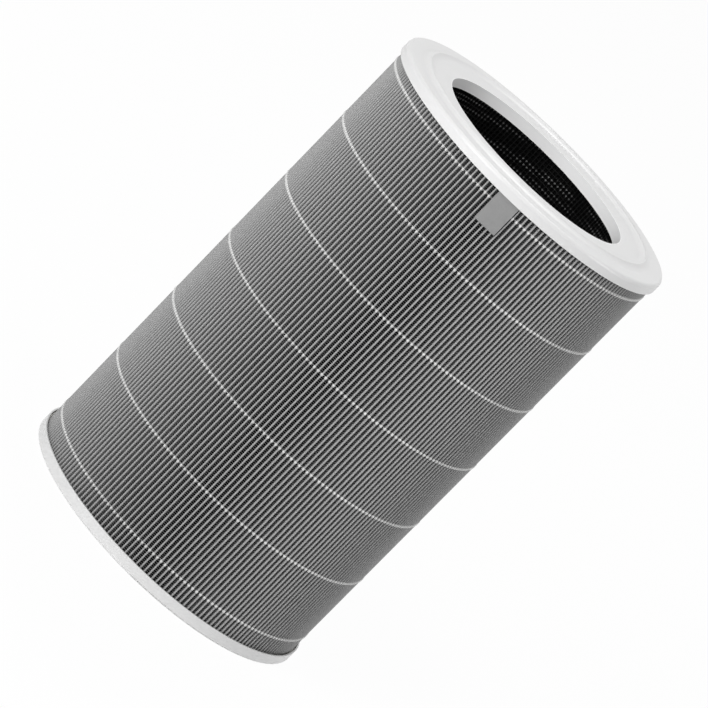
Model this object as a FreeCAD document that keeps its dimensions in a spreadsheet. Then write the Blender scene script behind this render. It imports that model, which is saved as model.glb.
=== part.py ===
# Cylindrical air purifier filter: a pleated tube potted between two moulded
# end caps, with a carbon tube in its core. Millimetres, +Z up, and the origin
# is the middle of the face that it stands on. -Y is the front.

import FreeCAD, Part
import math
import os

import Sketcher
from FreeCAD import Placement, Rotation, Vector

SIZES = [
    ("filter_height", 320.0, "overall height, over the sealing ridge"),
    ("cap_diameter", 201.0, "both end caps"),
    ("cap_wall", 0.9, "skirt and rim of the caps"),
    ("cap_plate", 2.0, "flat part of the caps"),
    ("cap_edge_round", 2.4, "outer edge of the top cap"),
    ("foot_edge_round", 1.2, "outer edge of the bottom cap"),
    ("skirt_depth", 6.95, "top cap, down from its flat face"),
    ("rim_height", 7.4, "bottom cap, up from the face that it stands on"),
    ("opening_diameter", 133.0, "inside of the collar"),
    ("collar_wall", 1.2, "collar of the opening"),
    ("collar_depth", 7.25, "down from the flat face"),
    ("lip_width", 4.4, "shallow lip that leads into the opening"),
    ("lip_drop", 0.4, "fall of that lip"),
    ("ridge_diameter", 169.4, "crest of the sealing ridge"),
    ("ridge_height", 2.0, "over the flat face"),
    ("ridge_foot_round", 6.0, "hollow at each foot of the ridge"),
    ("ridge_crest_round", 1.0, "crest of the ridge"),
    ("hub_height", 3.0, "core collar of the bottom cap, over its plate"),
    ("dish_rise", 1.6, "middle of the bottom cap, off the standing face"),
    ("dish_slope", 3.0, "width of the step up to the dish"),
    ("potting_depth", 3.0, "adhesive between a cap's plate and the pack"),
    ("pleat_count", 202, "folds round the pack"),
    ("media_thickness", 0.5, "the folded sheet"),
    ("tip_width", 1.3, "over both walls of a pleat at its outer fold"),
    ("valley_width", 0.5, "between two pleats at the bottom of a valley"),
    ("seam_depth", 9.0, "glue that joins the two ends of the sheet"),
    ("bead_height", 1.7, "along the axis"),
    ("bead_gap", 0.1, "between the folds and the glue beads"),
    ("bead_proud", 0.4, "outer glue beads, how thick they are"),
    ("inner_bead_proud", 0.5, "inner glue beads, how thick they are"),
    ("bead_first", 18.5, "height of the lowest bead"),
    ("bead_last_drop", 13.9, "from the flat face down to the highest bead"),
    ("bead_last_pitch", 43.85, "from the highest bead to the next; the rest are evenly spaced"),
    ("bead_count", 7, "lines of glue"),
    ("core_clearance", 0.3, "between the collar and the net tube"),
    ("net_wall", 1.0, "inner net tube"),
    ("net_columns", 12, "openings round the net"),
    ("net_rows", 3, "openings along the net"),
    ("net_strand", 3.0, "between two openings"),
    ("carbon_gap", 0.1, "between the inner net and the granules"),
    ("carbon_thickness", 4.0, "bed of granules"),
    ("outer_net_wall", 0.6, "net round the granules"),
    ("tab_width", 15.2, "pull tab"),
    ("tab_reach", 20.9, "how far the tab shows under the skirt"),
    ("tab_thickness", 0.5, "pull tab"),
    ("tab_gap", 0.1, "between the glue beads and the tab"),
    ("tab_angle", 2.67, "from the front towards +X, in degrees"),
]

# A pleat tip stands at this angle from the front.
FIRST_TIP_ANGLE = 0.594

doc = FreeCAD.newDocument("air_purifier_filter")


def make_sheet():
    sheet = doc.addObject("Spreadsheet::Sheet", "sizes")
    for row, (alias, value, note) in enumerate(SIZES, start=1):
        sheet.set(f"A{row}", alias)
        sheet.set(f"B{row}", str(value))
        sheet.set(f"C{row}", note)
        sheet.setAlias(f"B{row}", alias)
    doc.recompute()
    return sheet


sheet = make_sheet()


def size(alias):
    return float(sheet.get(alias))


def count(alias):
    return int(sheet.get(alias))


# Radii and heights that several pieces share, as expressions for the sketches.
CAP_RADIUS = "sizes.cap_diameter / 2"
CAP_INSIDE = "sizes.cap_diameter / 2 - sizes.cap_wall"
OPENING_RADIUS = "sizes.opening_diameter / 2"
COLLAR_OUTSIDE = "sizes.opening_diameter / 2 + sizes.collar_wall"
FLAT_HEIGHT = "sizes.filter_height - sizes.ridge_height"
TOP_PLATE_UNDER = "sizes.filter_height - sizes.ridge_height - sizes.cap_plate"
PACK_TOP = "sizes.filter_height - sizes.ridge_height - sizes.cap_plate - sizes.potting_depth"
PACK_BOTTOM = "sizes.cap_plate + sizes.potting_depth"
NET_INSIDE = "sizes.opening_diameter / 2 + sizes.collar_wall + sizes.core_clearance"
NET_OUTSIDE = NET_INSIDE + " + sizes.net_wall"
CARBON_INSIDE = NET_OUTSIDE + " + sizes.carbon_gap"
CARBON_OUTSIDE = CARBON_INSIDE + " + sizes.carbon_thickness"
OUTER_NET_OUTSIDE = CARBON_OUTSIDE + " + sizes.outer_net_wall"
INNER_BEAD_OUTSIDE = OUTER_NET_OUTSIDE + " + sizes.inner_bead_proud"
TAB_INSIDE = CAP_INSIDE + " - sizes.tab_thickness"
BEAD_OUTSIDE = TAB_INSIDE + " - sizes.tab_gap"
BEAD_INSIDE = BEAD_OUTSIDE + " - sizes.bead_proud"
BEAD_HIGHEST = FLAT_HEIGHT + " - sizes.bead_last_drop"

# The same radii and heights as numbers, for the shapes made in code.
flat_height = size("filter_height") - size("ridge_height")
pack_top = flat_height - size("cap_plate") - size("potting_depth")
pack_bottom = size("cap_plate") + size("potting_depth")
tip_radius = (size("cap_diameter") / 2 - size("cap_wall") - size("tab_thickness")
              - size("tab_gap") - size("bead_proud") - size("bead_gap"))
net_inside = size("opening_diameter") / 2 + size("collar_wall") + size("core_clearance")
net_outside = net_inside + size("net_wall")
inner_fold = (net_outside + size("carbon_gap") + size("carbon_thickness")
              + size("outer_net_wall") + size("inner_bead_proud") + size("bead_gap"))


def new_body(label):
    body = doc.addObject("PartDesign::Body", label)
    body.Label = label
    return body


def new_sketch(body, name, role):
    sketch = body.newObject("Sketcher::SketchObject", name)
    plane = [f for f in body.Origin.OriginFeatures if f.Role == role][0]
    sketch.AttachmentSupport = [(plane, "")]
    sketch.MapMode = "FlatFace"
    return sketch


def place_point(sketch, geometry, end, across, up):
    """Ties one point of the sketch to its radius and its height. None is the axis."""
    if across is None:
        sketch.addConstraint(Sketcher.Constraint("PointOnObject", geometry, end, -2))
    else:
        row = sketch.addConstraint(Sketcher.Constraint("DistanceX", -1, 1, geometry, end, 1.0))
        sketch.setExpression(f"Constraints[{row}]", across)
    if up is None:
        sketch.addConstraint(Sketcher.Constraint("PointOnObject", geometry, end, -1))
    else:
        row = sketch.addConstraint(Sketcher.Constraint("DistanceY", -1, 1, geometry, end, 1.0))
        sketch.setExpression(f"Constraints[{row}]", up)


def closed_outline(sketch, corners):
    """Straight lines through the corners, each a pair of expressions."""
    total = len(corners)
    for k in range(total):
        turn = 2 * math.pi * k / total
        after = 2 * math.pi * (k + 1) / total
        start = Vector(1 + math.cos(turn), 1 + math.sin(turn), 0)
        end = Vector(1 + math.cos(after), 1 + math.sin(after), 0)
        sketch.addGeometry(Part.LineSegment(start, end), False)
    for k in range(total):
        sketch.addConstraint(Sketcher.Constraint("Coincident", k, 2, (k + 1) % total, 1))
    for k, (across, up) in enumerate(corners):
        place_point(sketch, k, 1, across, up)


def revolve(body, sketch, name):
    turned = body.newObject("PartDesign::Revolution", name)
    turned.Profile = sketch
    turned.ReferenceAxis = (sketch, ["V_Axis"])
    turned.Angle = 360
    body.Tip = turned
    doc.recompute()
    return turned


def turned_ring(label, corners):
    """A ring or disc whose half section has these corners."""
    body = new_body(label)
    sketch = new_sketch(body, label + "_section", "XZ_Plane")
    closed_outline(sketch, corners)
    revolve(body, sketch, label + "_ring")
    return body


def tube(label, inside, outside, bottom, top):
    return turned_ring(label, [(inside, bottom), (outside, bottom), (outside, top), (inside, top)])


def round_edge(body, radius, height, size_alias):
    """Rounds the circular edge of the body at this radius and height."""
    base = body.Tip
    for number, edge in enumerate(base.Shape.Edges, start=1):
        curve = edge.Curve
        if not isinstance(curve, Part.Circle):
            continue
        if abs(curve.Radius - radius) < 0.01 and abs(curve.Center.z - height) < 0.01:
            fillet = body.newObject("PartDesign::Fillet", body.Label + "_round")
            fillet.Base = (base, [f"Edge{number}"])
            fillet.setExpression("Radius", "sizes." + size_alias)
            body.Tip = fillet
            doc.recompute()
            return
    raise ValueError(f"{body.Label} has no edge at radius {radius}, height {height}")


def add_sealing_ridge(body):
    """The ridge is a small crest arc between two hollow foot arcs, tangent to the flat face."""
    sketch = new_sketch(body, "ridge_section", "XZ_Plane")
    crest = size("ridge_crest_round")
    foot = size("ridge_foot_round")
    middle = size("ridge_diameter") / 2
    lean = math.acos(1 - size("ridge_height") / (crest + foot))
    reach = (crest + foot) * math.sin(lean)
    sunk = size("cap_plate") / 2
    crest_centre = Vector(middle, flat_height + size("ridge_height") - crest, 0)
    inner_centre = Vector(middle - reach, flat_height + foot, 0)
    outer_centre = Vector(middle + reach, flat_height + foot, 0)
    up = Vector(0, 0, 1)
    sketch.addGeometry(Part.ArcOfCircle(
        Part.Circle(inner_centre, up, foot), 1.5 * math.pi, 1.5 * math.pi + lean), False)
    sketch.addGeometry(Part.ArcOfCircle(
        Part.Circle(crest_centre, up, crest), 0.5 * math.pi - lean, 0.5 * math.pi + lean), False)
    sketch.addGeometry(Part.ArcOfCircle(
        Part.Circle(outer_centre, up, foot), 1.5 * math.pi - lean, 1.5 * math.pi), False)
    low_inner = Vector(middle - reach, flat_height - sunk, 0)
    low_outer = Vector(middle + reach, flat_height - sunk, 0)
    sketch.addGeometry(Part.LineSegment(Vector(middle + reach, flat_height, 0), low_outer), False)
    sketch.addGeometry(Part.LineSegment(low_outer, low_inner), False)
    sketch.addGeometry(Part.LineSegment(low_inner, Vector(middle - reach, flat_height, 0)), False)
    tangent = [(0, 2, 1, 2), (1, 1, 2, 1)]
    for first, first_end, second, second_end in tangent:
        sketch.addConstraint(Sketcher.Constraint("Tangent", first, first_end, second, second_end))
    joined = [(2, 2, 3, 1), (3, 2, 4, 1), (4, 2, 5, 1), (5, 2, 0, 1)]
    for first, first_end, second, second_end in joined:
        sketch.addConstraint(
            Sketcher.Constraint("Coincident", first, first_end, second, second_end))
    for line in (3, 5):
        sketch.addConstraint(Sketcher.Constraint("Vertical", line))
    sketch.addConstraint(Sketcher.Constraint("Horizontal", 4))
    sketch.addConstraint(Sketcher.Constraint("Equal", 0, 2))
    for arc, end in ((0, 1), (2, 2)):
        sketch.addConstraint(Sketcher.Constraint("Vertical", arc, end, arc, 3))
    driven = [
        (Sketcher.Constraint("Radius", 1, crest), "sizes.ridge_crest_round"),
        (Sketcher.Constraint("Radius", 0, foot), "sizes.ridge_foot_round"),
        (Sketcher.Constraint("DistanceX", -1, 1, 1, 3, middle), "sizes.ridge_diameter / 2"),
        (Sketcher.Constraint("DistanceY", -1, 1, 1, 3, crest_centre.y),
         "sizes.filter_height - sizes.ridge_crest_round"),
        (Sketcher.Constraint("DistanceY", -1, 1, 0, 1, flat_height), FLAT_HEIGHT),
        (Sketcher.Constraint("DistanceY", 4, 2, 5, 2, sunk), "sizes.cap_plate / 2"),
    ]
    for constraint, expression in driven:
        row = sketch.addConstraint(constraint)
        sketch.setExpression(f"Constraints[{row}]", expression)
    revolve(body, sketch, "ridge")


def make_top_end_cap():
    """A channel ring, open downwards: skirt, plate with lip and ridge, and collar."""
    collar_foot = FLAT_HEIGHT + " - sizes.collar_depth"
    skirt_foot = FLAT_HEIGHT + " - sizes.skirt_depth"
    lip_edge = FLAT_HEIGHT + " - sizes.lip_drop"
    body = turned_ring("top_end_cap", [
        (OPENING_RADIUS, collar_foot),
        (COLLAR_OUTSIDE, collar_foot),
        (COLLAR_OUTSIDE, TOP_PLATE_UNDER),
        (CAP_INSIDE, TOP_PLATE_UNDER),
        (CAP_INSIDE, skirt_foot),
        (CAP_RADIUS, skirt_foot),
        (CAP_RADIUS, FLAT_HEIGHT),
        (OPENING_RADIUS + " + sizes.lip_width", FLAT_HEIGHT),
        (OPENING_RADIUS, lip_edge),
    ])
    add_sealing_ridge(body)
    round_edge(body, size("cap_diameter") / 2, flat_height, "cap_edge_round")
    return body


def make_bottom_end_cap():
    """A shallow cup with a ring foot, a core collar and a dished, closed middle."""
    hub_top = "sizes.cap_plate + sizes.hub_height"
    dish_edge = OPENING_RADIUS + " - sizes.dish_slope"
    body = turned_ring("bottom_end_cap", [
        (None, "sizes.dish_rise"),
        (dish_edge, "sizes.dish_rise"),
        (OPENING_RADIUS, None),
        (CAP_RADIUS, None),
        (CAP_RADIUS, "sizes.rim_height"),
        (CAP_INSIDE, "sizes.rim_height"),
        (CAP_INSIDE, "sizes.cap_plate"),
        (COLLAR_OUTSIDE, "sizes.cap_plate"),
        (COLLAR_OUTSIDE, hub_top),
        (OPENING_RADIUS, hub_top),
        (OPENING_RADIUS, "sizes.cap_plate"),
        (dish_edge, "sizes.dish_rise + sizes.cap_plate"),
        (None, "sizes.dish_rise + sizes.cap_plate"),
    ])
    round_edge(body, size("cap_diameter") / 2, 0.0, "foot_edge_round")
    return body


def ring_point(radius, across, angle):
    """A point at this radius, shifted sideways, with the angle counted from -Y towards +X."""
    ahead = math.sqrt(radius * radius - across * across)
    x = ahead * math.sin(angle) + across * math.cos(angle)
    y = -ahead * math.cos(angle) + across * math.sin(angle)
    return Vector(x, y, pack_bottom)


def make_pleated_media():
    """One sheet, folded round the core: each pleat has two walls, and all walls one thickness."""
    pleats = count("pleat_count")
    turn = 2 * math.pi / pleats
    thick = size("media_thickness")
    tip = size("tip_width") / 2
    valley = size("valley_width") / 2
    outer = []
    inner = []
    for k in range(pleats):
        at_tip = math.radians(FIRST_TIP_ANGLE) + k * turn
        at_valley = at_tip + turn / 2
        for across in (-tip, tip):
            outer.append(ring_point(tip_radius, across, at_tip))
        for across in (-valley, valley):
            outer.append(ring_point(inner_fold + thick, across, at_valley))
        inner.append(ring_point(tip_radius - thick, 0, at_tip))
        for across in (-valley - thick, valley + thick):
            inner.append(ring_point(inner_fold, across, at_valley))
    rims = [Part.makePolygon(points + points[:1]) for points in (outer, inner)]
    section = Part.makeFace(rims, "Part::FaceMakerBullseye")
    media = doc.addObject("Part::Feature", "pleated_media")
    media.Label = "pleated_media"
    media.Shape = section.extrude(Vector(0, 0, pack_top - pack_bottom))
    media.Placement = Placement()
    return media


def make_seam():
    """Glue in one valley at the back, flush with the pleat tips."""
    turn = 2 * math.pi / count("pleat_count")
    angle = math.radians(FIRST_TIP_ANGLE) + (count("pleat_count") // 2 + 0.5) * turn
    wall_top = ring_point(tip_radius, size("tip_width") / 2, angle - turn / 2)
    wall_foot = ring_point(inner_fold + size("media_thickness"), -size("valley_width") / 2, angle)
    other_top = ring_point(tip_radius, -size("tip_width") / 2, angle + turn / 2)
    other_foot = ring_point(inner_fold + size("media_thickness"), size("valley_width") / 2, angle)
    share = size("seam_depth") / wall_top.distanceToPoint(wall_foot)
    corners = [
        wall_top,
        wall_top + (wall_foot - wall_top) * share,
        other_top + (other_foot - other_top) * share,
        other_top,
    ]
    section = Part.Face(Part.makePolygon(corners + corners[:1]))
    seam = doc.addObject("Part::Feature", "media_seam")
    seam.Label = "media_seam"
    seam.Shape = section.extrude(Vector(0, 0, pack_top - pack_bottom))
    seam.Placement = Placement()
    return seam


def make_beads():
    """Each line of glue is a low ridged ring, outside on the tips and inside on the folds."""
    beads = []
    spaces = count("bead_count") - 2
    reach = f"({BEAD_HIGHEST} - sizes.bead_last_pitch - sizes.bead_first)"
    heights = [f"sizes.bead_first + {k} * {reach} / {spaces}" for k in range(spaces + 1)]
    heights.append(BEAD_HIGHEST)
    for number, middle in enumerate(heights, start=1):
        low = middle + " - sizes.bead_height / 2"
        high = middle + " + sizes.bead_height / 2"
        beads.append(turned_ring(f"outer_bead_{number}", [
            (BEAD_INSIDE, low),
            (BEAD_OUTSIDE, middle),
            (BEAD_INSIDE, high),
        ]))
        beads.append(turned_ring(f"inner_bead_{number}", [
            (INNER_BEAD_OUTSIDE, low),
            (INNER_BEAD_OUTSIDE, high),
            (OUTER_NET_OUTSIDE, middle),
        ]))
    return beads


def make_inner_net():
    """The tube that lines the core, with rows of openings between its strands."""
    long = pack_top - pack_bottom
    base = Vector(0, 0, pack_bottom)
    wall = Part.makeCylinder(net_outside, long, base).cut(
        Part.makeCylinder(net_inside, long, base))
    columns = count("net_columns")
    rows = count("net_rows")
    strand = size("net_strand")
    wide = 2 * math.pi * net_inside / columns - strand
    tall = (long - strand) / rows - strand
    openings = []
    for row in range(rows):
        low = pack_bottom + strand + row * (tall + strand)
        for column in range(columns):
            opening = Part.makeBox(
                wide, net_outside, tall, Vector(-wide / 2, -1.5 * net_outside, low))
            opening.rotate(Vector(0, 0, 0), Vector(0, 0, 1), column * 360 / columns)
            openings.append(opening)
    net = doc.addObject("Part::Feature", "inner_net")
    net.Label = "inner_net"
    net.Shape = wall.cut(Part.Compound(openings))
    net.Placement = Placement()
    return net


def make_pull_tab():
    """A strip that hangs from inside the skirt, bent to the skirt's own curve."""
    body = new_body("pull_tab")
    sketch = new_sketch(body, "tab_section", "XY_Plane")
    outside = size("cap_diameter") / 2 - size("cap_wall")
    inside = outside - size("tab_thickness")
    half = math.asin(size("tab_width") / 2 / outside)
    front = 1.5 * math.pi
    centre = Vector(0, 0, 0)
    up = Vector(0, 0, 1)
    for radius in (outside, inside):
        circle = Part.Circle(centre, up, radius)
        sketch.addGeometry(Part.ArcOfCircle(circle, front - half, front + half), False)

    def on_arc(radius, side):
        turn = front + side * half
        return Vector(radius * math.cos(turn), radius * math.sin(turn), 0)

    for side in (-1, 1):
        sketch.addGeometry(Part.LineSegment(on_arc(outside, side), on_arc(inside, side)), False)
    for arc in (0, 1):
        sketch.addConstraint(Sketcher.Constraint("Coincident", arc, 3, -1, 1))
    joined = [(2, 1, 0, 1), (2, 2, 1, 1), (3, 1, 0, 2), (3, 2, 1, 2)]
    for first, first_end, second, second_end in joined:
        sketch.addConstraint(
            Sketcher.Constraint("Coincident", first, first_end, second, second_end))
    for arc in (0, 1):
        sketch.addConstraint(Sketcher.Constraint("Symmetric", arc, 1, arc, 2, -2))
    driven = [
        (Sketcher.Constraint("Radius", 0, outside), CAP_INSIDE),
        (Sketcher.Constraint("Radius", 1, inside), TAB_INSIDE),
        (Sketcher.Constraint("DistanceX", 0, 1, 0, 2, size("tab_width")), "sizes.tab_width"),
        (Sketcher.Constraint("DistanceX", 1, 1, 1, 2, size("tab_width")), "sizes.tab_width"),
    ]
    for constraint, expression in driven:
        row = sketch.addConstraint(constraint)
        sketch.setExpression(f"Constraints[{row}]", expression)
    pad = body.newObject("PartDesign::Pad", "tab_strip")
    pad.Profile = sketch
    tucked = "sizes.skirt_depth - sizes.cap_plate - sizes.potting_depth"
    pad.setExpression("Length", "sizes.tab_reach + " + tucked)
    body.Tip = pad
    low = flat_height - size("skirt_depth") - size("tab_reach")
    turned = Rotation(Vector(0, 0, 1), size("tab_angle"))
    body.Placement = Placement(Vector(0, 0, low), turned)
    doc.recompute()
    return body


def check_and_write(pieces):
    doc.recompute()
    for item in doc.Objects:
        if "Invalid" in item.State or "Error" in item.State:
            raise ValueError(f"{item.Label} did not build: {item.State}")
    for piece in pieces:
        shape = piece.Shape
        if shape.isNull() or not shape.isValid() or not shape.Solids:
            raise ValueError(f"{piece.Label} has no valid solid")
    os.makedirs("parts", exist_ok=True)
    for piece in pieces:
        piece.Shape.exportStep(f"parts/{piece.Label}.step")
        print(f"{piece.Label}: {len(piece.Shape.Solids)} solid, {piece.Shape.Volume:.1f} mm3")


pieces = [
    make_bottom_end_cap(),
    make_top_end_cap(),
    tube("bottom_potting", COLLAR_OUTSIDE, CAP_INSIDE, "sizes.cap_plate", PACK_BOTTOM),
    tube("top_potting", COLLAR_OUTSIDE, CAP_INSIDE, PACK_TOP, TOP_PLATE_UNDER),
    make_pleated_media(),
    make_seam(),
    make_inner_net(),
    tube("carbon_bed", CARBON_INSIDE, CARBON_OUTSIDE, PACK_BOTTOM, PACK_TOP),
    tube("outer_net", CARBON_OUTSIDE, OUTER_NET_OUTSIDE, PACK_BOTTOM, PACK_TOP),
    make_pull_tab(),
]
pieces += make_beads()
check_and_write(pieces)
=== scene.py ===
# Air purifier filter, dressed for a studio picture. Laid out as a Blender
# add-on and run as a script. Lengths are metres, +Z is up and -Y the front.

import math

import bmesh
import bpy
from bpy.props import FloatProperty, FloatVectorProperty, IntProperty, PointerProperty
from bpy.types import Operator, Panel, PropertyGroup
from mathutils import Matrix, Vector


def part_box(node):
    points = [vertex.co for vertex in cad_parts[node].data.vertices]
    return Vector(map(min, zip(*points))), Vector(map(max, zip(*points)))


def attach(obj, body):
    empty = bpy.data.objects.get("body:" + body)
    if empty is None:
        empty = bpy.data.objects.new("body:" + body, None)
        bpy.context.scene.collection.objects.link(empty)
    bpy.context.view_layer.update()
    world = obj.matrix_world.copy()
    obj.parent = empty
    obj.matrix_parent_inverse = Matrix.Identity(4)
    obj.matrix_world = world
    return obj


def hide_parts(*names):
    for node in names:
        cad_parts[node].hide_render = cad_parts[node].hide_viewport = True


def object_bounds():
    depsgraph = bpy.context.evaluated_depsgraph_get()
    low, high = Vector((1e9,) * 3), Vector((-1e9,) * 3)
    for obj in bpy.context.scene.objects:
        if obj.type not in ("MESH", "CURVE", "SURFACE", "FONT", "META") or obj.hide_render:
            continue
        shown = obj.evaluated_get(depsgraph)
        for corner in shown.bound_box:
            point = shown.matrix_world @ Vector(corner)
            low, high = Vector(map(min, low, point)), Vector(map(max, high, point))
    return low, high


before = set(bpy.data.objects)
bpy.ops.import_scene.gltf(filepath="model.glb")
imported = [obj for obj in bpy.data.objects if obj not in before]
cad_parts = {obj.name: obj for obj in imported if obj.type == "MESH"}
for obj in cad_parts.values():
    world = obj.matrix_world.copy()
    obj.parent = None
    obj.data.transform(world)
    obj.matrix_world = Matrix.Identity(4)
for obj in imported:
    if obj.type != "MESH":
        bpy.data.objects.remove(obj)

bl_info = {
    "name": "Air purifier filter",
    "version": (1, 0, 0),
    "blender": (4, 5, 0),
    "location": "View3D > Sidebar > Filter",
    "description": "Dresses a pleated cylindrical filter: sheet, glue lines, caps, core and tab",
    "category": "Object",
}

CAD_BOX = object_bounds()
MEDIA_LOW, MEDIA_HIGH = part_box("pleated_media")
NET_LOW, NET_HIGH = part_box("inner_net")
TAB_LOW, TAB_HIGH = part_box("pull_tab")
BEADS = sorted(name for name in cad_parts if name.startswith("outer_bead"))
INNER_BEADS = sorted(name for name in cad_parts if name.startswith("inner_bead"))

# The glue stands this far off the pack's surface, outside on the tips and inside on the folds.
GLUE_GAP = 0.0001
FOLD_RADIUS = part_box(INNER_BEADS[0])[1].y + GLUE_GAP

# Size of the waves in which the folds wander along each axis.
DRIFT_WAVES = {"X": 0.03, "Y": 0.035}

# A noise reads from about 0.3 to 0.7, so a mottled finish runs from dark to pale over that.
MOTTLE_DARK = 0.3
MOTTLE_PALE = 0.7

# Sections of the glue over one pleat: share of the way from valley to valley, and how far it has
# swollen there from the thin web to the full node on the tip.
GLUE_SECTIONS = (
    (0.0, 0.0), (0.13, 0.1), (0.21, 0.55), (0.33, 0.9), (0.5, 1.0),
    (0.67, 0.9), (0.79, 0.55), (0.87, 0.1), (1.0, 0.0))

WHITE = (1.0, 1.0, 1.0, 1.0)


def length(name, description, default):
    return FloatProperty(
        name=name, description=description, default=default, subtype="DISTANCE", unit="LENGTH")


def angle(name, description, degrees):
    return FloatProperty(
        name=name, description=description, default=math.radians(degrees), subtype="ANGLE")


def colour(name, description, default):
    return FloatVectorProperty(
        name=name, description=description, default=default, subtype="COLOR", min=0.0, max=1.0)


def grey(name, description, level):
    return colour(name, description, (level, level, level))


def share(name, description, default):
    return FloatProperty(
        name=name, description=description, default=default, subtype="FACTOR", min=0.0, max=1.0)


class FilterPleats(PropertyGroup):
    """The folded sheet and the net laid over it."""
    pleats: IntProperty(name="Pleats", description="Folds round the pack", default=202, min=3)
    first_tip: angle("First tip", "Angle of one pleat tip from the front", 0.594)
    tip_width: length("Tip width", "Over both walls of a pleat at its tip", 0.0011)
    valley_width: length("Valley width", "Between two pleats at the bottom", 0.0005)
    thickness: length("Sheet", "Thickness of the sheet", 0.0005)
    net_pitch: length("Net pitch", "From strand to strand of the net on the sheet", 0.00132)
    thread_width: length("Thread width", "Thickness of the threads that cross the valleys", 0.0004)
    thread_sink: length("Thread sink", "How far the threads lie behind the tips", 0.0008)
    thread_colour: grey("Thread colour", "Colour of the threads that cross the valleys", 0.09)
    drift: length("Drift", "How far the folds wander", 0.00012)
    # The crest, wall and deep colours are painted light and shade on one grey sheet: paler along
    # the crests, darker down the walls and between the folds.
    crest_lit_colour: grey("Crest colour", "Colour along the crest of a fold", 0.355)
    crest_full: length("Crest, full", "From the tips to where that colour starts to fade", 0.0005)
    crest_end: length("Crest, end", "From the tips to where that colour ends", 0.0019)
    wall_shaded_colour: grey("Wall colour", "Colour of the walls between the crests", 0.16)
    wall_full: length("Walls, full", "From the tips to where that colour starts to fade", 0.003)
    wall_end: length("Walls, end", "From the tips to where that colour ends", 0.006)
    deep_shaded_colour: grey("Deep colour", "Colour of the sheet deep between two folds", 0.13)


class FilterGlue(PropertyGroup):
    """The lines of hot-melt glue, and the adhesive cast in the caps."""
    node_height: length("Node height", "Glue on a tip, along the axis", 0.0020)
    node_depth: length("Node depth", "Glue on a tip, from its back to its face", 0.0011)
    node_proud: length("Node proud", "How far the glue bulges out past the tips", 0.0003)
    web_height: length("Web height", "Glue between two tips, along the axis", 0.0006)
    web_depth: length("Web depth", "Glue between two tips, from its back to its face", 0.0003)
    web_sink: length("Web sink", "How far the glue between two tips lies back", 0.0025)
    colour: colour("Glue colour", "Colour of the glue", (0.65, 0.65, 0.645))
    cast_pale: colour("Cast, pale", "Paler tone of the cast adhesive", (0.75, 0.74, 0.70))
    cast_dark: colour("Cast, dark", "Darker tone of the cast adhesive", (0.66, 0.65, 0.61))


class FilterCore(PropertyGroup):
    """The net tube and the granules in the core."""
    strand_pitch: length("Strand pitch", "From strand to strand of the core's net", 0.00265)
    strand_width: length("Strand width", "Width of one strand", 0.0008)
    # The bands, their twins and the knot colour are painted highlights: glints on the knots in
    # slanting bands.
    band_starts: IntProperty(
        name="Bands", description="Slanting bands that wind round side by side", default=4, min=1)
    band_pitch: length("Band pitch", "From one slanting band of rubbed knots to the next", 0.0204)
    band_height: length("Band height", "Where one band crosses the back of the core", 0.2984)
    band_gap: length("Band gap", "From each band down to its fainter twin", 0.0072)
    twin_share: share("Twin share", "How bright the twin is beside its band", 0.7)
    upright_glint_share: share("Line share", "How bright the uprights are beside a rubbed knot", 0.05)
    colour: grey("Net colour", "Colour of the core's net", 0.002)
    knot_glint_colour: grey("Knot colour", "Colour where two strands cross, rubbed bright", 0.22)
    granule_colour: grey("Granule colour", "Colour of the carbon granules", 0.008)


class FilterCaps(PropertyGroup):
    """The moulded end caps and the pull tab."""
    colour: grey("Cap colour", "Colour of the moulded caps", 0.70)
    # Painted light: the collar colour is a paler copy of the cap's white that brightens the collar
    # wall, which lies in shade.
    collar_lit_colour: grey("Collar colour", "Colour of the thin wall round the opening", 0.95)
    collar_full: length("Collar, full", "From the axis to where that colour starts to fade", 0.0666)
    collar_end: length("Collar, end", "From the axis to where that colour ends", 0.0671)
    tab_radius: length("Tab radius", "From the axis to the face of the pull tab", 0.0996)
    tab_angle: angle("Tab angle", "Middle of the pull tab, from the front", 2.67)
    tab_width: length("Tab width", "Width of the pull tab", 0.0152)
    tab_thickness: length("Tab thickness", "Thickness of the pull tab", 0.0005)
    tab_colour: grey("Tab colour", "Colour of the pull tab", 0.25)


class FilterStage(PropertyGroup):
    """The camera, the lamps and the floor."""
    elevation: angle("Elevation", "Height of the camera over the horizon", 14.335)
    roll: angle("Roll", "Turn of the picture, clockwise", 44.436)
    distance: length("Distance", "From the camera to the axis", 3.1997)
    aim_height: length("Aim height", "Point of the axis that the camera turns about", 0.1574)
    aim_right: angle("Aim right", "Small turn of the camera to the right", 0.0505)
    aim_up: angle("Aim up", "Small turn of the camera upwards", 0.0472)
    lens: FloatProperty(
        name="Lens", description="Focal length, in millimetres", default=279.97,
        subtype="DISTANCE_CAMERA")
    floor_size: length("Floor size", "Side of the square floor", 24.0)
    floor_colour: grey("Floor colour", "Colour of the floor", 0.92)
    floor_white: share("Floor white", "Share of plain white in the floor as it is seen", 0.96)
    lamp_distance: length("Lamp distance", "From each lamp to the axis", 2.6)
    lamp_size: length("Lamp size", "Width of each round lamp", 1.0)
    front_level: share("Front lamp", "Share of full light from it", 0.49)
    side_level: share("Side lamp", "Share of full light from it", 0.22)
    fill_level: share("Fill lamp", "Share of full light from it", 0.03)
    high_level: share("High lamp", "Share of full light from it", 0.25)
    rear_level: share("Rear lamp", "Share of full light from it", 0.21)
    sky_level: share("Even light", "Share of full light from all round", 0.3)


def deselect():
    """Leaves edit mode, and leaves nothing selected."""
    if bpy.context.mode != "OBJECT":
        bpy.ops.object.mode_set(mode="OBJECT")
    bpy.ops.object.select_all(action="DESELECT")


def pick(obj):
    """Makes obj the one selected and active object."""
    deselect()
    obj.select_set(True)
    bpy.context.view_layer.objects.active = obj


def edit(obj):
    """Goes into edit mode on obj."""
    pick(obj)
    bpy.ops.object.mode_set(mode="EDIT")


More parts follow.
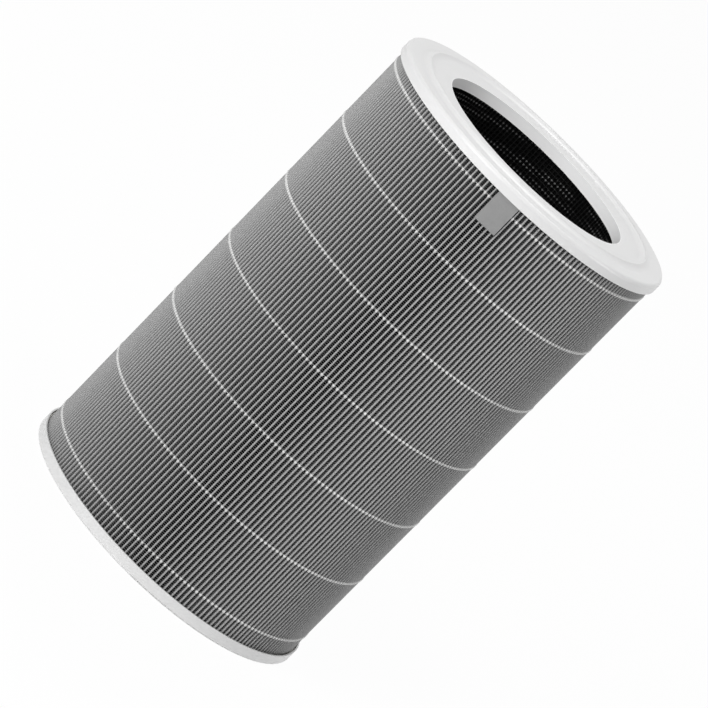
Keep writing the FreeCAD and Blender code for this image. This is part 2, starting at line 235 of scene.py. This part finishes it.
def select_where(obj, test):
    """Selects the vertices whose place passes the test, in edit mode."""
    bpy.ops.mesh.select_mode(type="VERT")
    bpy.ops.mesh.select_all(action="DESELECT")
    mesh = bmesh.from_edit_mesh(obj.data)
    for vertex in mesh.verts:
        vertex.select = test(vertex.co)
    mesh.select_flush(True)
    bmesh.update_edit_mesh(obj.data)


def place(obj, location=(0, 0, 0), rotation=(0, 0, 0), scale=(1, 1, 1)):
    """Sets the object's place and puts it into its mesh."""
    pick(obj)
    obj.location = location
    obj.rotation_euler = rotation
    obj.scale = scale
    bpy.ops.object.transform_apply(location=True, rotation=True, scale=True)


def apply_modifier(obj, name):
    """Puts a modifier's result into the mesh."""
    pick(obj)
    bpy.ops.object.modifier_apply(modifier=name)


def weld(obj, distance=0.00001):
    """Joins doubled vertices and turns every face outwards."""
    edit(obj)
    bpy.ops.mesh.select_all(action="SELECT")
    bpy.ops.mesh.remove_doubles(threshold=distance)
    bpy.ops.mesh.normals_make_consistent(inside=False)
    bpy.ops.object.mode_set(mode="OBJECT")


def smooth(obj, degrees):
    """Shades obj smooth, but for its edges sharper than this angle."""
    pick(obj)
    bpy.ops.object.shade_smooth_by_angle(angle=math.radians(degrees))


def ring_array(obj, total, merge=0.00002):
    """Repeats a piece round the Z axis and joins the copies into one mesh."""
    turn = 2 * math.pi / total
    deselect()
    bpy.ops.object.empty_add(type="PLAIN_AXES", rotation=(0, 0, turn))
    step = bpy.context.object
    array = obj.modifiers.new("round", "ARRAY")
    array.count = total
    array.use_relative_offset = False
    array.use_object_offset = True
    array.offset_object = step
    array.use_merge_vertices = True
    array.use_merge_vertices_cap = True
    array.merge_threshold = merge
    apply_modifier(obj, "round")
    bpy.data.objects.remove(step)
    weld(obj, merge)


def stack(obj, total, step):
    """Repeats a piece upwards."""
    array = obj.modifiers.new("along", "ARRAY")
    array.count = total
    array.use_relative_offset = False
    array.use_constant_offset = True
    array.constant_offset_displace = (0, 0, step)
    apply_modifier(obj, "along")


def strand_ring(radius, half, sides, steps):
    """One closed ring of strand at height 0: a profile, spun one short step and repeated round."""
    step = 2 * math.pi / steps
    deselect()
    bpy.ops.mesh.primitive_circle_add(vertices=sides, radius=half, fill_type="NOTHING")
    obj = bpy.context.object
    place(obj, rotation=(math.radians(90), 0, math.radians(90)))
    place(obj, (0, -radius, 0))
    place(obj, rotation=(0, 0, -step / 2))
    edit(obj)
    bpy.ops.mesh.select_all(action="SELECT")
    bpy.ops.mesh.spin(steps=1, angle=-step, center=(0, 0, 0), axis=(0, 0, 1))
    bpy.ops.object.mode_set(mode="OBJECT")
    ring_array(obj, steps)
    return obj


def wander(obj, amount):
    """Lets the folds, the threads and the glue wander a little, together."""
    for axis, size in DRIFT_WAVES.items():
        texture = bpy.data.textures.new("fold_drift_" + axis, "CLOUDS")
        texture.noise_scale = size
        shift = obj.modifiers.new("drift", "DISPLACE")
        shift.texture = texture
        shift.texture_coords = "GLOBAL"
        shift.direction = axis
        shift.strength = amount
        shift.mid_level = 0.5
        apply_modifier(obj, "drift")


def dress(obj, name, nodes, material):
    """Names a new piece, gives it its finish and lets it stand for its nodes, if it has any."""
    obj.name = name
    obj.data.name = name
    obj.data.materials.append(material)
    if nodes:
        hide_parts(*nodes)
    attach(obj, "root")


def paint(names, material):
    """Gives nodes of the frame their finish."""
    for name in names:
        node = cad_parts[name]
        node.data.materials.clear()
        node.data.materials.append(material)


def new_material(name):
    """A material, its node tree and its shader."""
    material = bpy.data.materials.new(name)
    material.use_nodes = True
    tree = material.node_tree
    return material, tree, tree.nodes["Principled BSDF"]


def object_place(tree):
    """Where a point lies in the piece's own coordinates."""
    return tree.nodes.new("ShaderNodeTexCoord").outputs["Object"]


def noise(tree, where, scale, detail=4.0):
    """An even cloud of noise; the larger the scale, the finer it is."""
    texture = tree.nodes.new("ShaderNodeTexNoise")
    texture.inputs["Scale"].default_value = scale
    texture.inputs["Detail"].default_value = detail
    tree.links.new(where, texture.inputs["Vector"])
    return texture.outputs["Fac"]


def shades(tree, factor, stops):
    """Runs from tone to tone as the factor passes the stops, each a place and its tone."""
    made = tree.nodes.new("ShaderNodeValToRGB")
    points = made.color_ramp.elements
    while len(points) < len(stops):
        points.new(position=0.5)
    for point, (at, tone) in zip(points, stops):
        point.position = at
        point.color = (*tone, 1.0)
    tree.links.new(factor, made.inputs["Fac"])
    return made.outputs["Color"]


def times(tone, factor):
    """The tone made darker or paler."""
    return tuple(min(1.0, part * factor) for part in tone)


def mottled(tree, factor, tone, dark, pale=1.0):
    """The tone, times dark where the noise is low and times pale where it is high."""
    return shades(tree, factor, [
        (MOTTLE_DARK, times(tone, dark)), (MOTTLE_PALE, times(tone, pale))])


def calculate(tree, operation, *values):
    """One step of arithmetic on numbers and outputs."""
    made = tree.nodes.new("ShaderNodeMath")
    made.operation = operation
    for socket, value in zip(made.inputs, values):
        if isinstance(value, (int, float)):
            socket.default_value = value
        else:
            tree.links.new(value, socket)
    return made.outputs["Value"]


def split_place(tree, where):
    """The place's X, Y and Z, and how far it lies from the Z axis."""
    apart = tree.nodes.new("ShaderNodeSeparateXYZ")
    tree.links.new(where, apart.inputs["Vector"])
    flat = tree.nodes.new("ShaderNodeCombineXYZ")
    tree.links.new(apart.outputs["X"], flat.inputs["X"])
    tree.links.new(apart.outputs["Y"], flat.inputs["Y"])
    radius = tree.nodes.new("ShaderNodeVectorMath")
    radius.operation = "LENGTH"
    tree.links.new(flat.outputs["Vector"], radius.inputs[0])
    return apart.outputs["X"], apart.outputs["Y"], apart.outputs["Z"], radius.outputs["Value"]


def rise(tree, value, low, high):
    """A soft step from 0 at low to 1 at high."""
    made = tree.nodes.new("ShaderNodeMapRange")
    made.interpolation_type = "SMOOTHSTEP"
    made.inputs["From Min"].default_value = low
    made.inputs["From Max"].default_value = high
    tree.links.new(value, made.inputs["Value"])
    return made.outputs["Result"]


def blend(tree, factor, first, second):
    """The first colour where the factor is 0, the second where it is 1."""
    made = tree.nodes.new("ShaderNodeMix")
    made.data_type = "RGBA"
    tree.links.new(factor, made.inputs["Factor"])
    tree.links.new(first, made.inputs["A"])
    tree.links.new(second, made.inputs["B"])
    return made.outputs["Result"]


def wave(tree, value, period):
    """Swings between -1 and 1, with its peaks one period apart."""
    turned = calculate(tree, "MULTIPLY", value, 2 * math.pi / period)
    return calculate(tree, "COSINE", turned)


def coat(tree, shader, tone, roughness, specular=0.5):
    """Gives the shader its colour, its roughness and how much it shines."""
    tree.links.new(tone, shader.inputs["Base Color"])
    shader.inputs["Roughness"].default_value = roughness
    shader.inputs["Specular IOR Level"].default_value = specular


def bump(tree, shader, relief, strength, distance):
    """Fine relief on the surface, up to this distance high."""
    made = tree.nodes.new("ShaderNodeBump")
    made.inputs["Strength"].default_value = strength
    made.inputs["Distance"].default_value = distance
    tree.links.new(relief, made.inputs["Height"])
    tree.links.new(made.outputs["Normal"], shader.inputs["Normal"])


def cap_plastic(caps):
    """Smooth white moulding with a very slight mottle, painted paler on the collar wall round the
    opening as painted light, where that wall lies in shade.
    """
    material, tree, shader = new_material("cap_plastic")
    where = object_place(tree)
    mottle = noise(tree, where, scale=60.0)
    tone = mottled(tree, mottle, caps.colour, dark=0.985)
    # Painted light: a paler tone for the collar wall inside the opening, where shade falls.
    thin = mottled(tree, mottle, caps.collar_lit_colour, dark=0.985)
    height, radius = split_place(tree, where)[2:]
    # Where the painted light goes: the collar wall round the opening, on the top cap.
    inside = rise(tree, radius, low=caps.collar_end, high=caps.collar_full)
    third = CAD_BOX[1].z / 3
    upper = rise(tree, height, low=third, high=2 * third)
    collar = calculate(tree, "MULTIPLY", inside, upper)
    coat(tree, shader, blend(tree, collar, tone, thin), roughness=0.38, specular=0.85)
    grain = noise(tree, where, scale=400.0, detail=2.0)
    bump(tree, shader, grain, strength=0.04, distance=0.0001)
    return material


def sheet_material(pleats):
    """Grey sheet under a fine net, with ladders of strands on the walls, and painted light and
    shade: paler along the crests, darker down the walls and between the folds.
    """
    material, tree, shader = new_material("filter_sheet")
    where = object_place(tree)
    height, radius = split_place(tree, where)[2:]
    tips = MEDIA_HIGH.y
    crest = rise(tree, radius, low=tips - pleats.crest_end, high=tips - pleats.crest_full)
    shallow = rise(tree, radius, low=tips - pleats.wall_end, high=tips - pleats.wall_full)
    first_strand = MEDIA_LOW.z + pleats.net_pitch / 2
    from_strand = calculate(tree, "SUBTRACT", height, first_strand)
    strand = wave(tree, from_strand, pleats.net_pitch)
    fibre = noise(tree, where, scale=1400.0, detail=3.0)
    # The level is near 0 between two strands and near 1 on one, with a little fibre in it.
    swing = 0.4
    middle = 0.46
    fibre_share = 0.08
    level = calculate(tree, "MULTIPLY_ADD", strand, swing, middle)
    level = calculate(tree, "MULTIPLY_ADD", fibre, fibre_share, level)
    between = 0.15
    on_strand = 0.85
    # The ladder of strands is the net's own pattern; the walls' darker tone under it is painted
    # shade.
    wall = shades(tree, level, [
        (between, times(pleats.wall_shaded_colour, 0.08)),
        ((between + on_strand) / 2, times(pleats.wall_shaded_colour, 0.9)),
        (on_strand, times(pleats.wall_shaded_colour, 2.0))])
    # Painted light: the crests' paler tone.
    pale = shades(tree, level, [
        (between, times(pleats.crest_lit_colour, 0.86)), (on_strand, times(pleats.crest_lit_colour, 1.1))])
    deep = shades(tree, level, [
        (0.2, times(pleats.deep_shaded_colour, 0.9)), (on_strand, pleats.deep_shaded_colour)])
    # Painted shade by depth: from the pale crests down the darker walls into the deep between two
    # folds.
    tone = blend(tree, shallow, deep, wall)
    coat(tree, shader, blend(tree, crest, tone, pale), roughness=0.85, specular=0.2)
    bump(tree, shader, level, strength=0.12, distance=0.0001)
    return material


def thread_material(pleats):
    """Spun threads, their tone mottled paler and darker at random."""
    material, tree, shader = new_material("net_thread")
    spun = noise(tree, object_place(tree), scale=1800.0, detail=2.0)
    tone = mottled(tree, spun, pleats.thread_colour, dark=0.85, pale=1.15)
    coat(tree, shader, tone, roughness=0.6, specular=0.3)
    bump(tree, shader, spun, strength=0.2, distance=0.00005)
    return material


def glue_material(glue):
    """Milky hot-melt glue, a little clouded."""
    material, tree, shader = new_material("hot_melt_glue")
    cloud = noise(tree, object_place(tree), scale=500.0)
    tone = mottled(tree, cloud, glue.colour, dark=0.9)
    coat(tree, shader, tone, roughness=0.35)
    bump(tree, shader, cloud, strength=0.15, distance=0.0002)
    return material


def potting_material(glue):
    """Cast adhesive, off-white and slightly uneven."""
    material, tree, shader = new_material("potting_adhesive")
    cloud = noise(tree, object_place(tree), scale=160.0)
    tone = shades(tree, cloud, [(MOTTLE_DARK, glue.cast_dark), (MOTTLE_PALE, glue.cast_pale)])
    coat(tree, shader, tone, roughness=0.5)
    bump(tree, shader, cloud, strength=0.3, distance=0.0004)
    return material


def glinting_bands(tree, core, across, depth, height):
    """How strong the painted highlight on the knots is: bands that climb round the core, each with
    a fainter twin.
    """
    left = calculate(tree, "MULTIPLY", across, -1.0)
    from_back = calculate(tree, "ARCTAN2", left, depth)
    climb = core.band_starts * core.band_pitch / (2 * math.pi)
    slant = calculate(tree, "MULTIPLY_ADD", from_back, climb, height)
    slant = calculate(tree, "SUBTRACT", slant, core.band_height)
    twin_slant = calculate(tree, "ADD", slant, core.band_gap)
    band = rise(tree, wave(tree, slant, core.band_pitch), low=0.55, high=0.9)
    twin = rise(tree, wave(tree, twin_slant, core.band_pitch), low=0.7, high=1.0)
    twin = calculate(tree, "MULTIPLY", twin, core.twin_share)
    return calculate(tree, "MAXIMUM", band, twin)


def net_material(core, around, first_hoop, hoop_step):
    """Black extruded net, with painted highlights: its knots and uprights glint along slanting
    bands.
    """
    material, tree, shader = new_material("core_net_plastic")
    where = object_place(tree)
    across, depth, height = split_place(tree, where)[:3]
    front = calculate(tree, "MULTIPLY", depth, -1.0)
    turn = calculate(tree, "ARCTAN2", across, front)
    upright = calculate(tree, "COSINE", calculate(tree, "MULTIPLY", turn, around))
    from_hoop = calculate(tree, "SUBTRACT", height, first_hoop)
    hoop = wave(tree, from_hoop, hoop_step)
    crossing = calculate(tree, "MINIMUM", upright, hoop)
    knot = rise(tree, crossing, low=0.1, high=0.6)
    # Painted highlight: glints on the knots where the slanting bands pass, patchy along each band.
    band = glinting_bands(tree, core, across, depth, height)
    uneven = rise(tree, noise(tree, where, scale=45.0, detail=1.0), low=0.3, high=0.55)
    patchy_glint = calculate(tree, "MULTIPLY", band, uneven)
    bright = calculate(tree, "MULTIPLY", knot, patchy_glint)
    # Painted highlight along the uprights too, faint beside the glinting knots.
    line = rise(tree, upright, low=0.5, high=0.9)
    line = calculate(tree, "MULTIPLY", line, core.upright_glint_share)
    glinting = calculate(tree, "MAXIMUM", bright, line)
    wear = noise(tree, where, scale=300.0)
    plain_tone = mottled(tree, wear, core.colour, dark=0.7, pale=1.6)
    glinting_tone = mottled(tree, wear, core.knot_glint_colour, dark=0.6)
    # The glinting tone is painted highlight; the plain tone is the net's own black.
    tone = blend(tree, glinting, plain_tone, glinting_tone)
    coat(tree, shader, tone, roughness=0.28, specular=0.06)
    bump(tree, shader, wear, strength=0.1, distance=0.0001)
    return material


def granule_material(core):
    """Packed carbon granules: rounded cells, with painted shade darkening towards the gaps between
    them.
    """
    material, tree, shader = new_material("carbon_granules")
    cells = tree.nodes.new("ShaderNodeTexVoronoi")
    cells.inputs["Scale"].default_value = 700.0
    tree.links.new(object_place(tree), cells.inputs["Vector"])
    from_middle = cells.outputs["Distance"]
    # Painted shade: darker from the middle of each granule out to the gaps.
    tone = shades(tree, from_middle, [
        (0.1, core.granule_colour), (0.5, times(core.granule_colour, 0.375)),
        (0.8, times(core.granule_colour, 0.125))])
    coat(tree, shader, tone, roughness=0.7, specular=0.02)
    relief = calculate(tree, "SUBTRACT", 1.0, from_middle)
    bump(tree, shader, relief, strength=0.9, distance=0.0005)
    return material


def tab_material(caps):
    """Grey nonwoven cloth, its fibres pressed flat."""
    material, tree, shader = new_material("tab_cloth")
    where = object_place(tree)
    fibre = noise(tree, where, scale=2600.0, detail=6.0)
    patch = noise(tree, where, scale=260.0)
    patch_share = 0.4
    level = calculate(tree, "MULTIPLY_ADD", patch, patch_share, fibre)
    tone = shades(tree, level, [
        (0.35, times(caps.tab_colour, 0.88)), (0.95, times(caps.tab_colour, 1.1))])
    coat(tree, shader, tone, roughness=0.9)
    shader.inputs["Sheen Weight"].default_value = 0.15
    bump(tree, shader, fibre, strength=0.35, distance=0.0001)
    return material


def fold_path(pleats):
    """Outer side of one pleat at the front, from the middle of one valley to the next."""
    half_turn = math.pi / pleats.pleats
    valley_radius = FOLD_RADIUS + pleats.thickness
    half_tip = pleats.tip_width / 2
    tip_centre = MEDIA_HIGH.y - half_tip
    start = Vector((-valley_radius * math.sin(half_turn), -valley_radius * math.cos(half_turn), 0))
    foot = start + Vector((pleats.valley_width / 2, 0, 0))
    arc_steps = 4
    arc = []
    for step in range(arc_steps + 1):
        turn = math.pi * step / arc_steps
        arc.append(Vector((-half_tip * math.cos(turn), -tip_centre - half_tip * math.sin(turn), 0)))
    far = [Vector((-point.x, point.y, 0)) for point in (foot, start)]
    return [start, foot] + arc + far


def extrude_along(points):
    """Extrudes the selected edges from point to point."""
    for before, after in zip(points, points[1:]):
        bpy.ops.mesh.extrude_region_move(TRANSFORM_OT_translate={"value": after - before})


class FILTER_OT_sheet(Operator):
    """Models one pleat of the folded sheet and repeats it round the core"""
    bl_idname = "filter.sheet"
    bl_label = "Folded sheet"

    def execute(self, context):
        pleats = context.scene.filter_pleats
        path = fold_path(pleats)
        tall = MEDIA_HIGH.z - MEDIA_LOW.z
        wide = (path[1] - path[0]).length
        middle = (path[0] + path[1]) / 2
        deselect()
        bpy.ops.mesh.primitive_grid_add(x_subdivisions=1, y_subdivisions=3, size=1)
        obj = context.object
        place(obj, rotation=(math.radians(90), 0, 0))
        place(obj, (middle.x, middle.y, MEDIA_LOW.z + tall / 2), scale=(wide, 1, tall))
        edit(obj)
        select_where(obj, lambda at: at.x > middle.x)
        extrude_along(path[1:])
        bpy.ops.object.mode_set(mode="OBJECT")
        place(obj, rotation=(0, 0, pleats.first_tip))
        ring_array(obj, pleats.pleats)
        wander(obj, pleats.drift)
        wall = obj.modifiers.new("wall", "SOLIDIFY")
        wall.thickness = pleats.thickness
        wall.offset = -1
        apply_modifier(obj, "wall")
        smooth(obj, degrees=50)
        dress(obj, "folded_sheet", ["pleated_media"], sheet_material(pleats))
        return {"FINISHED"}


class FILTER_OT_threads(Operator):
    """Models a short length of thread just behind the fold tips, repeated round and upwards"""
    bl_idname = "filter.threads"
    bl_label = "Net threads"

    def execute(self, context):
        pleats = context.scene.filter_pleats
        radius = MEDIA_HIGH.y - pleats.thread_sink
        tall = MEDIA_HIGH.z - MEDIA_LOW.z
        obj = strand_ring(radius, pleats.thread_width / 2, sides=3, steps=72)
        place(obj, (0, 0, MEDIA_LOW.z + pleats.net_pitch / 2))
        stack(obj, int(tall / pleats.net_pitch), pleats.net_pitch)
        wander(obj, pleats.drift)
        pick(obj)
        bpy.ops.object.shade_smooth()
        dress(obj, "net_threads", [], thread_material(pleats))
        return {"FINISHED"}


class FILTER_OT_glue(Operator):
    """Models the glue on one pleat tip, repeats it round, and copies the ring to each line"""
    bl_idname = "filter.glue"
    bl_label = "Glue lines"

    def execute(self, context):
        pleats = context.scene.filter_pleats
        glue = context.scene.filter_glue
        material = glue_material(glue)
        ring = glue_ring(pleats, glue)
        for number, name in enumerate(BEADS, start=1):
            low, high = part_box(name)
            pick(ring)
            bpy.ops.object.duplicate(linked=False)
            line = context.object
            place(line, (0, 0, (low.z + high.z) / 2))
            wander(line, pleats.drift)
            pick(line)
            bpy.ops.object.shade_smooth()
            dress(line, f"glue_line_{number}", [name], material)
        bpy.data.objects.remove(ring)
        paint(INNER_BEADS + ["media_seam"], material)
        return {"FINISHED"}


def glue_ring(pleats, glue):
    """One closed ring of glue at height 0, thick on each tip and thin between two."""
    face = MEDIA_HIGH.y + GLUE_GAP
    node_radius = face + glue.node_proud - glue.node_depth / 2
    web_radius = face - glue.web_sink - glue.web_depth / 2
    node = Vector((node_radius, glue.node_depth, glue.node_height))
    web = Vector((web_radius, glue.web_depth, glue.web_height))
    pitch = 2 * web_radius * math.tan(math.pi / pleats.pleats)
    deselect()
    bpy.ops.mesh.primitive_circle_add(vertices=8, radius=0.5, fill_type="NOTHING")
    obj = bpy.context.object
    place(obj, rotation=(math.radians(90), 0, math.radians(90)))
    place(obj, (-pitch / 2, -web_radius, 0), scale=(1, glue.web_depth, glue.web_height))
    edit(obj)
    bpy.ops.mesh.select_all(action="SELECT")
    for (last_across, last_fill), (across, fill) in zip(GLUE_SECTIONS, GLUE_SECTIONS[1:]):
        last_radius, last_deep, last_tall = web.lerp(node, last_fill)
        radius, deep, tall = web.lerp(node, fill)
        step = Vector((pitch * (across - last_across), last_radius - radius, 0))
        bpy.ops.mesh.extrude_region_move(TRANSFORM_OT_translate={"value": step})
        bpy.ops.transform.resize(
            value=(1, deep / last_deep, tall / last_tall),
            center_override=(pitch * (across - 0.5), -radius, 0))
    bpy.ops.object.mode_set(mode="OBJECT")
    place(obj, rotation=(0, 0, pleats.first_tip))
    ring_array(obj, pleats.pleats)
    return obj


class FILTER_OT_caps(Operator):
    """Gives the end caps and the adhesive in them their finish"""
    bl_idname = "filter.caps"
    bl_label = "End caps"

    def execute(self, context):
        paint(["top_end_cap", "bottom_end_cap"], cap_plastic(context.scene.filter_caps))
        paint(["top_potting", "bottom_potting"], potting_material(context.scene.filter_glue))
        return {"FINISHED"}


class FILTER_OT_core(Operator):
    """Models the fine net that lines the core, and finishes the granules behind it"""
    bl_idname = "filter.core"
    bl_label = "Core net"

    def execute(self, context):
        core = context.scene.filter_core
        half = core.strand_width / 2
        middle = NET_HIGH.y - half
        tall = NET_HIGH.z - NET_LOW.z
        around = round(2 * math.pi * middle / core.strand_pitch)
        along = round(tall / core.strand_pitch)
        first_hoop = NET_LOW.z + half
        hoop_step = (tall - 2 * half) / (along - 1)
        upright_radius = middle - half / 2
        deselect()
        bpy.ops.mesh.primitive_cylinder_add(vertices=6, radius=half, depth=tall)
        net = context.object
        place(net, (0, -upright_radius, NET_LOW.z + tall / 2))
        ring_array(net, around)
        hoops = strand_ring(middle, half, sides=6, steps=around // 2)
        place(hoops, (0, 0, first_hoop))
        stack(hoops, along, hoop_step)
        pick(net)
        hoops.select_set(True)
        bpy.ops.object.join()
        smooth(net, degrees=75)
        black = net_material(core, around, first_hoop, hoop_step)
        dress(net, "core_net", ["inner_net"], black)
        paint(["outer_net"], black)
        paint(["carbon_bed"], granule_material(core))
        return {"FINISHED"}


class FILTER_OT_tab(Operator):
    """Models the cloth tab that hangs from under the top cap"""
    bl_idname = "filter.tab"
    bl_label = "Pull tab"

    def execute(self, context):
        caps = context.scene.filter_caps
        tall = TAB_HIGH.z - TAB_LOW.z
        radius = caps.tab_radius - caps.tab_thickness / 2
        sweep = caps.tab_width / radius
        deselect()
        bpy.ops.mesh.primitive_grid_add(x_subdivisions=1, y_subdivisions=12, size=1)
        obj = context.object
        place(obj, rotation=(math.radians(90), 0, math.radians(90)))
        place(obj, (0, -radius, TAB_LOW.z + tall / 2), scale=(1, caps.tab_thickness, tall))
        place(obj, rotation=(0, 0, caps.tab_angle - sweep / 2))
        edit(obj)
        bpy.ops.mesh.select_all(action="SELECT")
        bpy.ops.mesh.spin(steps=10, angle=-sweep, center=(0, 0, 0), axis=(0, 0, 1))
        bpy.ops.object.mode_set(mode="OBJECT")
        weld(obj)
        soften = obj.modifiers.new("edge", "BEVEL")
        soften.width = caps.tab_thickness / 4
        soften.segments = 2
        soften.limit_method = "ANGLE"
        apply_modifier(obj, "edge")
        smooth(obj, degrees=40)
        dress(obj, "cloth_tab", ["pull_tab"], tab_material(caps))
        return {"FINISHED"}


class FILTER_OT_stage(Operator):
    """Sets the floor, the lamps, the even light and the camera"""
    bl_idname = "filter.stage"
    bl_label = "Stage"

    def execute(self, context):
        stage = context.scene.filter_stage
        make_floor(stage)
        make_sky(stage)
        make_lamp(stage, "front_lamp", stage.front_level, round_by=-30, up_by=20)
        make_lamp(stage, "side_lamp", stage.side_level, round_by=90, up_by=20)
        make_lamp(stage, "fill_lamp", stage.fill_level, round_by=5, up_by=20)
        make_lamp(stage, "high_lamp", stage.high_level, round_by=-30, up_by=60)
        make_lamp(stage, "rear_lamp", stage.rear_level, round_by=180, up_by=60)
        make_camera(stage)
        context.scene.view_settings.view_transform = "Standard"
        return {"FINISHED"}


def white_to_camera(tree, white, lit, output, white_share):
    """Mixes a plain white that only the picture and reflections see with what is lit."""
    path = tree.nodes.new("ShaderNodeLightPath")
    seen = path.outputs["Is Camera Ray"]
    for kind in ("Is Glossy Ray", "Is Transmission Ray"):
        seen = calculate(tree, "MAXIMUM", seen, path.outputs[kind])
    mix = tree.nodes.new("ShaderNodeMixShader")
    tree.links.new(calculate(tree, "MULTIPLY", seen, white_share), mix.inputs["Fac"])
    tree.links.new(lit, mix.inputs[1])
    tree.links.new(white, mix.inputs[2])
    tree.links.new(mix.outputs["Shader"], output)


def make_floor(stage):
    """A pale floor that keeps the object's shadow and looks almost white."""
    deselect()
    bpy.ops.mesh.primitive_plane_add(size=stage.floor_size)
    floor = bpy.context.object
    floor.name = "floor"
    material, tree, shader = new_material("pale_floor")
    shader.inputs["Base Color"].default_value = (*stage.floor_colour, 1.0)
    shader.inputs["Roughness"].default_value = 0.9
    glow = tree.nodes.new("ShaderNodeEmission")
    glow.inputs["Strength"].default_value = 1.0
    surface = tree.nodes["Material Output"].inputs["Surface"]
    white_to_camera(
        tree, glow.outputs["Emission"], shader.outputs["BSDF"], surface, stage.floor_white)
    floor.data.materials.append(material)


def make_sky(stage):
    """Even light from all round, which the picture sees as plain white."""
    world = bpy.data.worlds.new("even_light")
    bpy.context.scene.world = world
    world.use_nodes = True
    tree = world.node_tree
    even = tree.nodes["Background"]
    even.inputs["Color"].default_value = WHITE
    even.inputs["Strength"].default_value = stage.sky_level
    white = tree.nodes.new("ShaderNodeBackground")
    white.inputs["Color"].default_value = WHITE
    white.inputs["Strength"].default_value = 1.0
    surface = tree.nodes["World Output"].inputs["Surface"]
    white_to_camera(
        tree, white.outputs["Background"], even.outputs["Background"], surface, white_share=1.0)


def make_lamp(stage, name, level, round_by, up_by):
    """A round soft lamp that looks at the object, so many degrees round from the front and up."""
    towards = Vector((0, -1, 0))
    towards.rotate(Matrix.Rotation(math.radians(-up_by), 3, "X"))
    towards.rotate(Matrix.Rotation(math.radians(round_by), 3, "Z"))
    deselect()
    bpy.ops.object.light_add(type="AREA")
    lamp = bpy.context.object
    lamp.name = name
    lamp.data.shape = "DISK"
    lamp.data.size = stage.lamp_size
    # At level 1 one lamp alone lights a white surface that faces it to full white.
    lamp.data.energy = level * (math.pi * stage.lamp_distance) ** 2
    lamp.location = Vector((0, 0, stage.aim_height)) + stage.lamp_distance * towards
    lamp.rotation_euler = towards.to_track_quat("Z", "Y").to_euler()


def make_camera(stage):
    """The picture's view: straight at the axis, two small turns, then the roll."""
    back = Vector((0, -math.cos(stage.elevation), math.sin(stage.elevation)))
    right = Vector((1, 0, 0))
    ahead = -back
    up = right.cross(ahead)
    turned = math.cos(stage.aim_right) * right - math.sin(stage.aim_right) * ahead
    ahead = math.sin(stage.aim_right) * right + math.cos(stage.aim_right) * ahead
    raised = math.cos(stage.aim_up) * up - math.sin(stage.aim_up) * ahead
    ahead = math.sin(stage.aim_up) * up + math.cos(stage.aim_up) * ahead
    across = math.cos(stage.roll) * turned + math.sin(stage.roll) * raised
    upward = math.cos(stage.roll) * raised - math.sin(stage.roll) * turned
    deselect()
    bpy.ops.object.camera_add()
    camera = bpy.context.object
    camera.name = "picture_camera"
    turn = Matrix((across, upward, -ahead)).transposed().to_4x4()
    spot = Vector((0, 0, stage.aim_height)) + back * stage.distance
    camera.matrix_world = Matrix.Translation(spot) @ turn
    camera.data.lens = stage.lens
    camera.data.sensor_width = 36.0
    camera.data.clip_end = 100.0
    bpy.context.scene.camera = camera


class FILTER_PT_panel(Panel):
    """Lists the filter's pieces"""
    bl_label = "Air purifier filter"
    bl_idname = "FILTER_PT_panel"
    bl_space_type = "VIEW_3D"
    bl_region_type = "UI"
    bl_category = "Filter"

    def draw(self, context):
        for operator in STEPS:
            self.layout.operator(operator.bl_idname)


GROUPS = {
    "filter_pleats": FilterPleats,
    "filter_glue": FilterGlue,
    "filter_core": FilterCore,
    "filter_caps": FilterCaps,
    "filter_stage": FilterStage,
}
STEPS = (
    FILTER_OT_stage, FILTER_OT_sheet, FILTER_OT_threads, FILTER_OT_glue,
    FILTER_OT_caps, FILTER_OT_core, FILTER_OT_tab)


def register():
    for group in GROUPS.values():
        bpy.utils.register_class(group)
    for step in STEPS:
        bpy.utils.register_class(step)
    bpy.utils.register_class(FILTER_PT_panel)
    for name, group in GROUPS.items():
        setattr(bpy.types.Scene, name, PointerProperty(type=group))


def unregister():
    for name in GROUPS:
        delattr(bpy.types.Scene, name)
    bpy.utils.unregister_class(FILTER_PT_panel)
    for step in reversed(STEPS):
        bpy.utils.unregister_class(step)
    for group in reversed(list(GROUPS.values())):
        bpy.utils.unregister_class(group)


def main():
    register()
    for step in STEPS:
        group, name = step.bl_idname.split(".")
        getattr(getattr(bpy.ops, group), name)()


if __name__ == "__main__":
    main()
